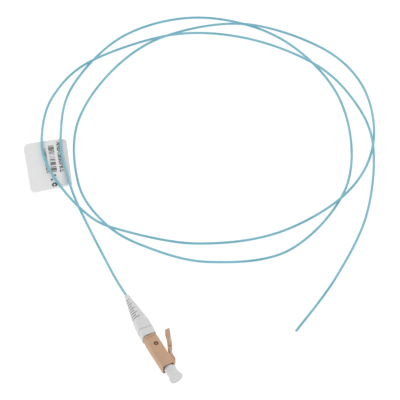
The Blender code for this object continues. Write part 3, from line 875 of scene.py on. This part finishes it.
# Ferrule and holder: the polished zirconia pin that carries the glass, pressed into a nickel-plated holder
# that floats inside the socket. Both show only when the cap is off.
ZIRCONIA = (0.86, 0.85, 0.81)
NICKEL = (0.62, 0.60, 0.56)
POLISHED_ROUGHNESS = (0.08, 0.2)
PLATED_ROUGHNESS = (0.22, 0.38)
FERRULE_RADIUS = 0.625 * MM
FERRULE_REACH = 1.0 * MM
FERRULE_ROUND = 0.18 * MM
HOLDER_RADIUS = 1.3 * MM
HOLDER_LENGTH = 2.2 * MM
GLASS_RADIUS = 0.0625 * MM
GLASS_DARK = (0.10, 0.11, 0.12)

holder_rear = FRONT_X - SOCKET_DEPTH + FIT_GAP
holder_front = holder_rear + HOLDER_LENGTH
ferrule_tip = FRONT_X + FERRULE_REACH


def ferrule_material():
    """Polished white ceramic with the dark glass end in its middle."""
    material = new_material("zirconia", coat=0.3)
    tree = material.node_tree
    from_tip = far_from(tree, on_piece(tree), (ferrule_tip, AXIS_Y, AXIS_Z))
    glass = number_node(tree, "LESS_THAN", from_tip, GLASS_RADIUS)
    polish = noise(tree, on_piece(tree), 4000.0, 2.0)
    return dress(
        material,
        colour=mixed(tree, glass, ZIRCONIA, GLASS_DARK),
        roughness=spread(tree, polish, 0.0, 1.0, *POLISHED_ROUGHNESS),
    )


def nickel_material():
    """Turned and plated metal: fine rings round the axis in its gloss."""
    material = new_material("nickel", metallic=1.0)
    tree = material.node_tree
    tree.nodes["Principled BSDF"].inputs["Base Color"].default_value = (*NICKEL, 1.0)
    rings = add_node(tree, "ShaderNodeTexWave", bands_direction="X", inputs=[
        ("Vector", on_piece(tree)), ("Scale", 9000.0), ("Distortion", 2.0), ("Detail", 2.0),
    ])
    return dress(material, roughness=spread(tree, rings.outputs["Fac"], 0.0, 1.0, *PLATED_ROUGHNESS))


ferrule_profile = [(ferrule_tip, FERRULE_RADIUS - FERRULE_ROUND)]
for along, inset in rounding(FERRULE_ROUND, 1, 4):
    ferrule_profile.append((ferrule_tip - along, FERRULE_RADIUS - inset))
ferrule_profile.append((holder_front + FIT_GAP / 4, FERRULE_RADIUS))
ferrule = place_piece(
    "polished_ferrule", turned(ferrule_profile), ferrule_material(), "pigtail")
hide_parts("ferrule")
holder = place_piece("plated_holder", turned([
    (holder_front, HOLDER_RADIUS * 0.7),
    (holder_front - HOLDER_LENGTH * 0.05, HOLDER_RADIUS * 0.75),
    (holder_front - HOLDER_LENGTH * 0.28, HOLDER_RADIUS * 0.97),
    (holder_front - HOLDER_LENGTH * 0.32, HOLDER_RADIUS),
    (holder_rear + HOLDER_LENGTH * 0.05, HOLDER_RADIUS),
    (holder_rear, HOLDER_RADIUS * 0.95),
]), nickel_material(), "pigtail")
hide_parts("ferrule_holder")


# Dust cap: one white moulding that pulls straight off. Its hollow stem slips over the ferrule inside the
# socket, and the end that shows is a short neck that flares into a rimmed grip.
CAP_WHITE = (0.665, 0.666, 0.668)
CAP_WHITE_WARM = (0.698, 0.699, 0.698)
CAP_INNER_RADIUS = 1.6 * MM
CAP_INNER_LENGTH = 3.0 * MM
CAP_NECK_RADIUS = 2.0 * MM
CAP_FLARE_RADIUS = 2.48 * MM
CAP_VISIBLE_LENGTH = 5.3 * MM
CAP_FLARE_LENGTH = 2.15 * MM
CAP_RIM_LENGTH = 0.45 * MM
CAP_ROUND = 0.14 * MM
CAP_DISH = 0.1 * MM
CAP_BORE_RADIUS = 0.925 * MM
CAP_TURN_DEGREES = 2.0
CAP_PIVOT_BEHIND = 4.3 * MM

cap_end = FRONT_X + CAP_VISIBLE_LENGTH
cap_inner_end = FRONT_X - CAP_INNER_LENGTH
cap_bore_end = ferrule_tip + FIT_GAP * 2


cap_profile = [
    (cap_bore_end, CAP_BORE_RADIUS),
    (cap_inner_end + CAP_ROUND, CAP_BORE_RADIUS),
    (cap_inner_end, CAP_BORE_RADIUS + CAP_ROUND),
    (cap_inner_end, CAP_INNER_RADIUS - CAP_ROUND),
    (cap_inner_end + CAP_ROUND, CAP_INNER_RADIUS),
    (FRONT_X + FIT_GAP, CAP_INNER_RADIUS),
    (FRONT_X + FIT_GAP, CAP_NECK_RADIUS - CAP_ROUND),
    (FRONT_X + FIT_GAP + CAP_ROUND * 0.3, CAP_NECK_RADIUS - CAP_ROUND * 0.3),
    (FRONT_X + FIT_GAP + CAP_ROUND, CAP_NECK_RADIUS),
]
flare_start = cap_end - CAP_FLARE_LENGTH
flare_end = cap_end - CAP_RIM_LENGTH
for step in range(9):
    share = step / 8
    cap_profile.append((
        flare_start + (flare_end - flare_start) * share,
        CAP_NECK_RADIUS + (CAP_FLARE_RADIUS - CAP_NECK_RADIUS) * eased(share),
    ))
for inset, from_end in rounding(CAP_ROUND, 0, 4):
    cap_profile.append((cap_end - from_end, CAP_FLARE_RADIUS - inset))
for reach, dish in ((0.86, 0.25), (0.8, 0.8), (0.74, 1.0), (0.16, 1.0), (0.13, 0.7), (0.05, 0.6)):
    cap_profile.append((cap_end - CAP_DISH * dish, CAP_FLARE_RADIUS * reach))
cap_white = moulded_material(
    "white_plastic", CAP_WHITE, CAP_WHITE_WARM, roughness=0.5, grain=0.2, hollow=0.2, specular=0.2)[0]
cap_pivot = Matrix.Translation((FRONT_X - CAP_PIVOT_BEHIND, AXIS_Y, 0.0))
cap_mesh = turned(cap_profile, 96)
cap_turn = Matrix.Rotation(math.radians(CAP_TURN_DEGREES), 4, "Z")
cap_mesh.transform(cap_pivot @ cap_turn @ cap_pivot.inverted())
cap = place_piece("flared_cap", cap_mesh, cap_white, "cap", 50.0)
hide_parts("dust_cap")


# Label: a strip of coated white card folded over once and left free under the cord. The fold springs a
# little open on the side of the coil, and its upper leaf carries plain bars and rows of short dashes.
CARD_WHITE = (0.855, 0.855, 0.858)
CARD_SHADE = (0.805, 0.806, 0.810)
# Grey painted as shade over the band of the card next to the fold; the two shares after it say where
# across the card it fades in.
CARD_FOLD_SHADE = (0.690, 0.692, 0.700)
CARD_INK = (0.030, 0.028, 0.028)
CARD_ROUGHNESS = (0.42, 0.6)
FIBRE_DEPTH = 0.01 * MM
FOLD_SHADE_FROM = 0.76
FOLD_SHADE_TO = 0.84
LABEL_LENGTH = 22.6 * MM
LABEL_WIDTH = 15.9 * MM
LABEL_TAPER = 0.5 * MM
LABEL_SLANT = 0.85 * MM
LABEL_SKEW = 0.7 * MM
LABEL_EDGE_HEIGHT = 0.4 * MM
LABEL_CREST_HEIGHT = 1.5 * MM
LABEL_CREST_SHARE = 0.72
LABEL_NOSE_POWER = 5.0
LABEL_CORNER = 1.6 * MM
LABEL_CENTRE = Vector((-86.7, 1.48, 0.0)) * MM
LABEL_TURN_DEGREES = -18.7
CARD_CLEARANCE = 0.03 * MM
LABEL_COLUMNS = 40
LABEL_ROWS = 28
# Each row of print: across from and to, along from and to in mm from the middle, cells a mm, seed and the
# shortest stroke as a share of its cell. The ring past the bars is in mm too, along and then across.
PRINT_ROWS = (
    (0.85, 2.95, -8.5, 3.9, 1.43, 3.0, 0.2),
    (4.00, 4.45, -9.6, 4.4, 1.25, 11.0, 0.2),
    (4.45, 4.90, -9.6, 4.4, 1.15, 17.0, 0.05),
    (4.90, 5.35, -9.6, 4.4, 1.30, 41.0, 0.2),
    (-1.05, -0.70, -7.6, 3.9, 1.40, 23.0, 0.3),
    (-0.70, -0.35, -7.6, 3.9, 1.20, 31.0, 0.2),
    (-0.35, 0.00, -7.6, 3.9, 1.30, 37.0, 0.3),
    (1.35, 2.35, 5.1, 5.9, 0.1, 5.0, 1.0),
    (0.15, 0.95, 6.9, 7.7, 0.1, 5.0, 1.0),
)
RING_CENTRE = (9.8, 1.3, 0.0)
RING_RADIUS = 0.72
RING_STROKE = 0.70


def label_top(share):
    """Height of the card's top from its free edge (0) over the crest to the fold (1)."""
    if share < LABEL_CREST_SHARE:
        rise = math.sin(math.pi / 2 * share / LABEL_CREST_SHARE)
        return LABEL_EDGE_HEIGHT + (LABEL_CREST_HEIGHT - LABEL_EDGE_HEIGHT) * rise
    past = (share - LABEL_CREST_SHARE) / (1.0 - LABEL_CREST_SHARE)
    return LABEL_CREST_HEIGHT * math.sqrt(max(0.0, 1.0 - past ** LABEL_NOSE_POWER))


def card_half_length(from_edge):
    """Half the card's length at a distance from its free edge: round at the corners, less at the fold."""
    missing = max(0.0, LABEL_CORNER - from_edge)
    straight = LABEL_LENGTH / 2 - LABEL_TAPER * from_edge / LABEL_WIDTH
    return straight - LABEL_CORNER + math.sqrt(max(0.0, LABEL_CORNER ** 2 - missing ** 2))


def card_mesh():
    """Upper leaf, fold and lower leaf as one closed body, with its place in the card's own UV map."""
    turn = Matrix.Translation(LABEL_CENTRE) @ Matrix.Rotation(math.radians(LABEL_TURN_DEGREES), 4, "Z")
    made = bmesh.new()
    uv = made.loops.layers.uv.new("card")
    marks = {}
    shares = [math.sin(math.pi / 2 * row / LABEL_ROWS) for row in range(LABEL_ROWS + 1)]
    upper, lower = [], []
    for leaf, side, kept_shares in ((upper, 1, shares[:-1]), (lower, -1, shares)):
        for share in kept_shares:
            half = card_half_length(LABEL_WIDTH * share)
            height = label_top(share) if side == 1 else CARD_CLEARANCE
            row = []
            for column in range(LABEL_COLUMNS + 1):
                reach = column / LABEL_COLUMNS
                along = half * (2 * reach - 1) - LABEL_SLANT * share * reach
                across = LABEL_WIDTH * (share - 0.5) - LABEL_SKEW * share * reach
                vertex = made.verts.new(turn @ Vector((along, across, max(height, CARD_CLEARANCE))))
                marks[vertex] = (along / LABEL_LENGTH + 0.5, side * share)
                row.append(vertex)
            leaf.append(row)
    faces = []
    rows = upper + lower[::-1]
    for first, second in zip(rows, rows[1:] + rows[:1]):
        for column in range(LABEL_COLUMNS):
            faces.append((first[column], first[column + 1], second[column + 1], second[column]))
    for column in (0, LABEL_COLUMNS):
        for row in range(LABEL_ROWS - 1):
            over, under = upper[row:row + 2], lower[row:row + 2]
            faces.append((over[0][column], over[1][column], under[1][column], under[0][column]))
        faces.append((upper[-1][column], lower[-1][column], lower[-2][column]))
    for corners in faces:
        for loop in made.faces.new(corners).loops:
            loop[uv].uv = marks[loop.vert]
    bmesh.ops.recalc_face_normals(made, faces=made.faces)
    mesh = bpy.data.meshes.new("card")
    made.to_mesh(mesh)
    made.free()
    return mesh


def card_material():
    """Coated card with a faint fibre, shade painted greyer over the band next to the fold, and its print:
    a block of plain bars between two rows of dashes.
    """
    material = new_material("label_film", specular=0.4)
    tree = material.node_tree
    place = add_node(tree, "ShaderNodeUVMap", uv_map="card").outputs["UV"]
    parts = add_node(tree, "ShaderNodeSeparateXYZ", [("Vector", place)]).outputs

    def number(operation, *values):
        return number_node(tree, operation, *values)

    def inside(value, low, high):
        return number("MULTIPLY", number("GREATER_THAN", value, low), number("LESS_THAN", value, high))

    def strokes(value, cells, seed, shortest):
        """1 along a stroke of random length, from the shortest up, at the start of each cell."""
        scaled = number("MULTIPLY", value, cells)
        chance = add_node(tree, "ShaderNodeTexWhiteNoise", noise_dimensions="1D", inputs=[
            ("W", number("ADD", number("FLOOR", scaled), seed)),
        ])
        length = number("MULTIPLY_ADD", chance.outputs["Value"], 1.0 - shortest, shortest)
        return number("LESS_THAN", number("FLOORED_MODULO", scaled, 1.0), length)

    along = number("MULTIPLY", number("SUBTRACT", parts["X"], 0.5), LABEL_LENGTH / MM)
    across = number("MULTIPLY", number("SUBTRACT", parts["Y"], 0.5), LABEL_WIDTH / MM)
    spot = add_node(tree, "ShaderNodeCombineXYZ", [("X", along), ("Y", across)]).outputs["Vector"]
    from_ring = number("SUBTRACT", far_from(tree, spot, RING_CENTRE), RING_RADIUS)
    ink = number("LESS_THAN", number("ABSOLUTE", from_ring), RING_STROKE / 2)
    for low, high, start, end, cells, seed, shortest in PRINT_ROWS:
        row = number("MULTIPLY", inside(across, low, high), inside(along, start, end))
        ink = number("MAXIMUM", ink, number("MULTIPLY", row, strokes(along, cells, seed, shortest)))
    fibre = noise(tree, on_piece(tree), 1400.0, 6.0)
    # Painted shade: the card turns greyer towards the fold.
    fold_shade = spread(tree, number("ABSOLUTE", parts["Y"]), FOLD_SHADE_FROM, FOLD_SHADE_TO)
    sheet = mixed(tree, fold_shade, mixed(tree, fibre, CARD_SHADE, CARD_WHITE), CARD_FOLD_SHADE)
    fade = spread(tree, noise(tree, place, 60.0, 2.0), 0.3, 0.7, 0.8, 1.0)
    return dress(
        material,
        colour=mixed(tree, number("MULTIPLY", ink, fade), sheet, CARD_INK),
        roughness=spread(tree, fibre, 0.0, 1.0, *CARD_ROUGHNESS),
        normal=bumped(tree, fibre, 0.3, FIBRE_DEPTH),
    )


card = place_piece("folded_card", card_mesh(), card_material(), "pigtail", 60.0)
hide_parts("label")


# Table and light: a plain white sheet that glows evenly from below, as on a light table, under a soft sky
# that is brighter near the horizon than overhead. One broad light stands on the side of the plug's back.
FLOOR_SIZE = 6.0
FLOOR_DROP = 0.02 * MM
FLOOR_WHITE = (0.2, 0.2, 0.2)
FLOOR_GLOW = 0.91
SKY_HORIZON = 1.15
SKY_LEAN = Vector((-0.22, 0.16, -0.55))
KEY_SIZE = 1.6
KEY_POWER = 9.0
KEY_COLOUR = (1.0, 0.985, 0.96)
KEY_PLACE = Vector((-0.3, -1.0, 2.16))

floor_mesh = bpy.data.meshes.new("table")
floor_maker = bmesh.new()
bmesh.ops.create_grid(floor_maker, x_segments=1, y_segments=1, size=FLOOR_SIZE / 2)
floor_maker.to_mesh(floor_mesh)
floor_maker.free()
floor_mesh.transform(Matrix.Translation((0.0, 0.0, -FLOOR_DROP)))
table_finish = new_material("table_white", specular=0.0)
table_shader = table_finish.node_tree.nodes["Principled BSDF"]
table_shader.inputs["Base Color"].default_value = (*FLOOR_WHITE, 1.0)
table_shader.inputs["Roughness"].default_value = 0.8
table_shader.inputs["Emission Color"].default_value = (1.0, 1.0, 1.0, 1.0)
table_shader.inputs["Emission Strength"].default_value = FLOOR_GLOW
floor_mesh.materials.append(table_finish)
floor = bpy.data.objects.new("table", floor_mesh)
bpy.context.scene.collection.objects.link(floor)

sky = bpy.data.worlds.new("sky")
sky.use_nodes = True
sky_background = sky.node_tree.nodes["Background"]
sky_background.inputs["Color"].default_value = (1.0, 1.0, 1.0, 1.0)
towards = sky.node_tree.nodes.new("ShaderNodeTexCoord").outputs["Generated"]
pair = enumerate((towards, SKY_LEAN))
lean = add_node(sky.node_tree, "ShaderNodeVectorMath", pair, operation="DOT_PRODUCT").outputs["Value"]
sky_strength = number_node(sky.node_tree, "ADD", lean, SKY_HORIZON)
sky.node_tree.links.new(sky_strength, sky_background.inputs["Strength"])
bpy.context.scene.world = sky
key_data = bpy.data.lights.new("key", "AREA")
key_data.size = KEY_SIZE
key_data.energy = KEY_POWER
key_data.color = KEY_COLOUR
key = bpy.data.objects.new("key", key_data)
key.location = KEY_PLACE
key.rotation_euler = (-KEY_PLACE).to_track_quat("-Z", "Y").to_euler()
bpy.context.scene.collection.objects.link(key)
bpy.context.scene.view_settings.view_transform = "Standard"
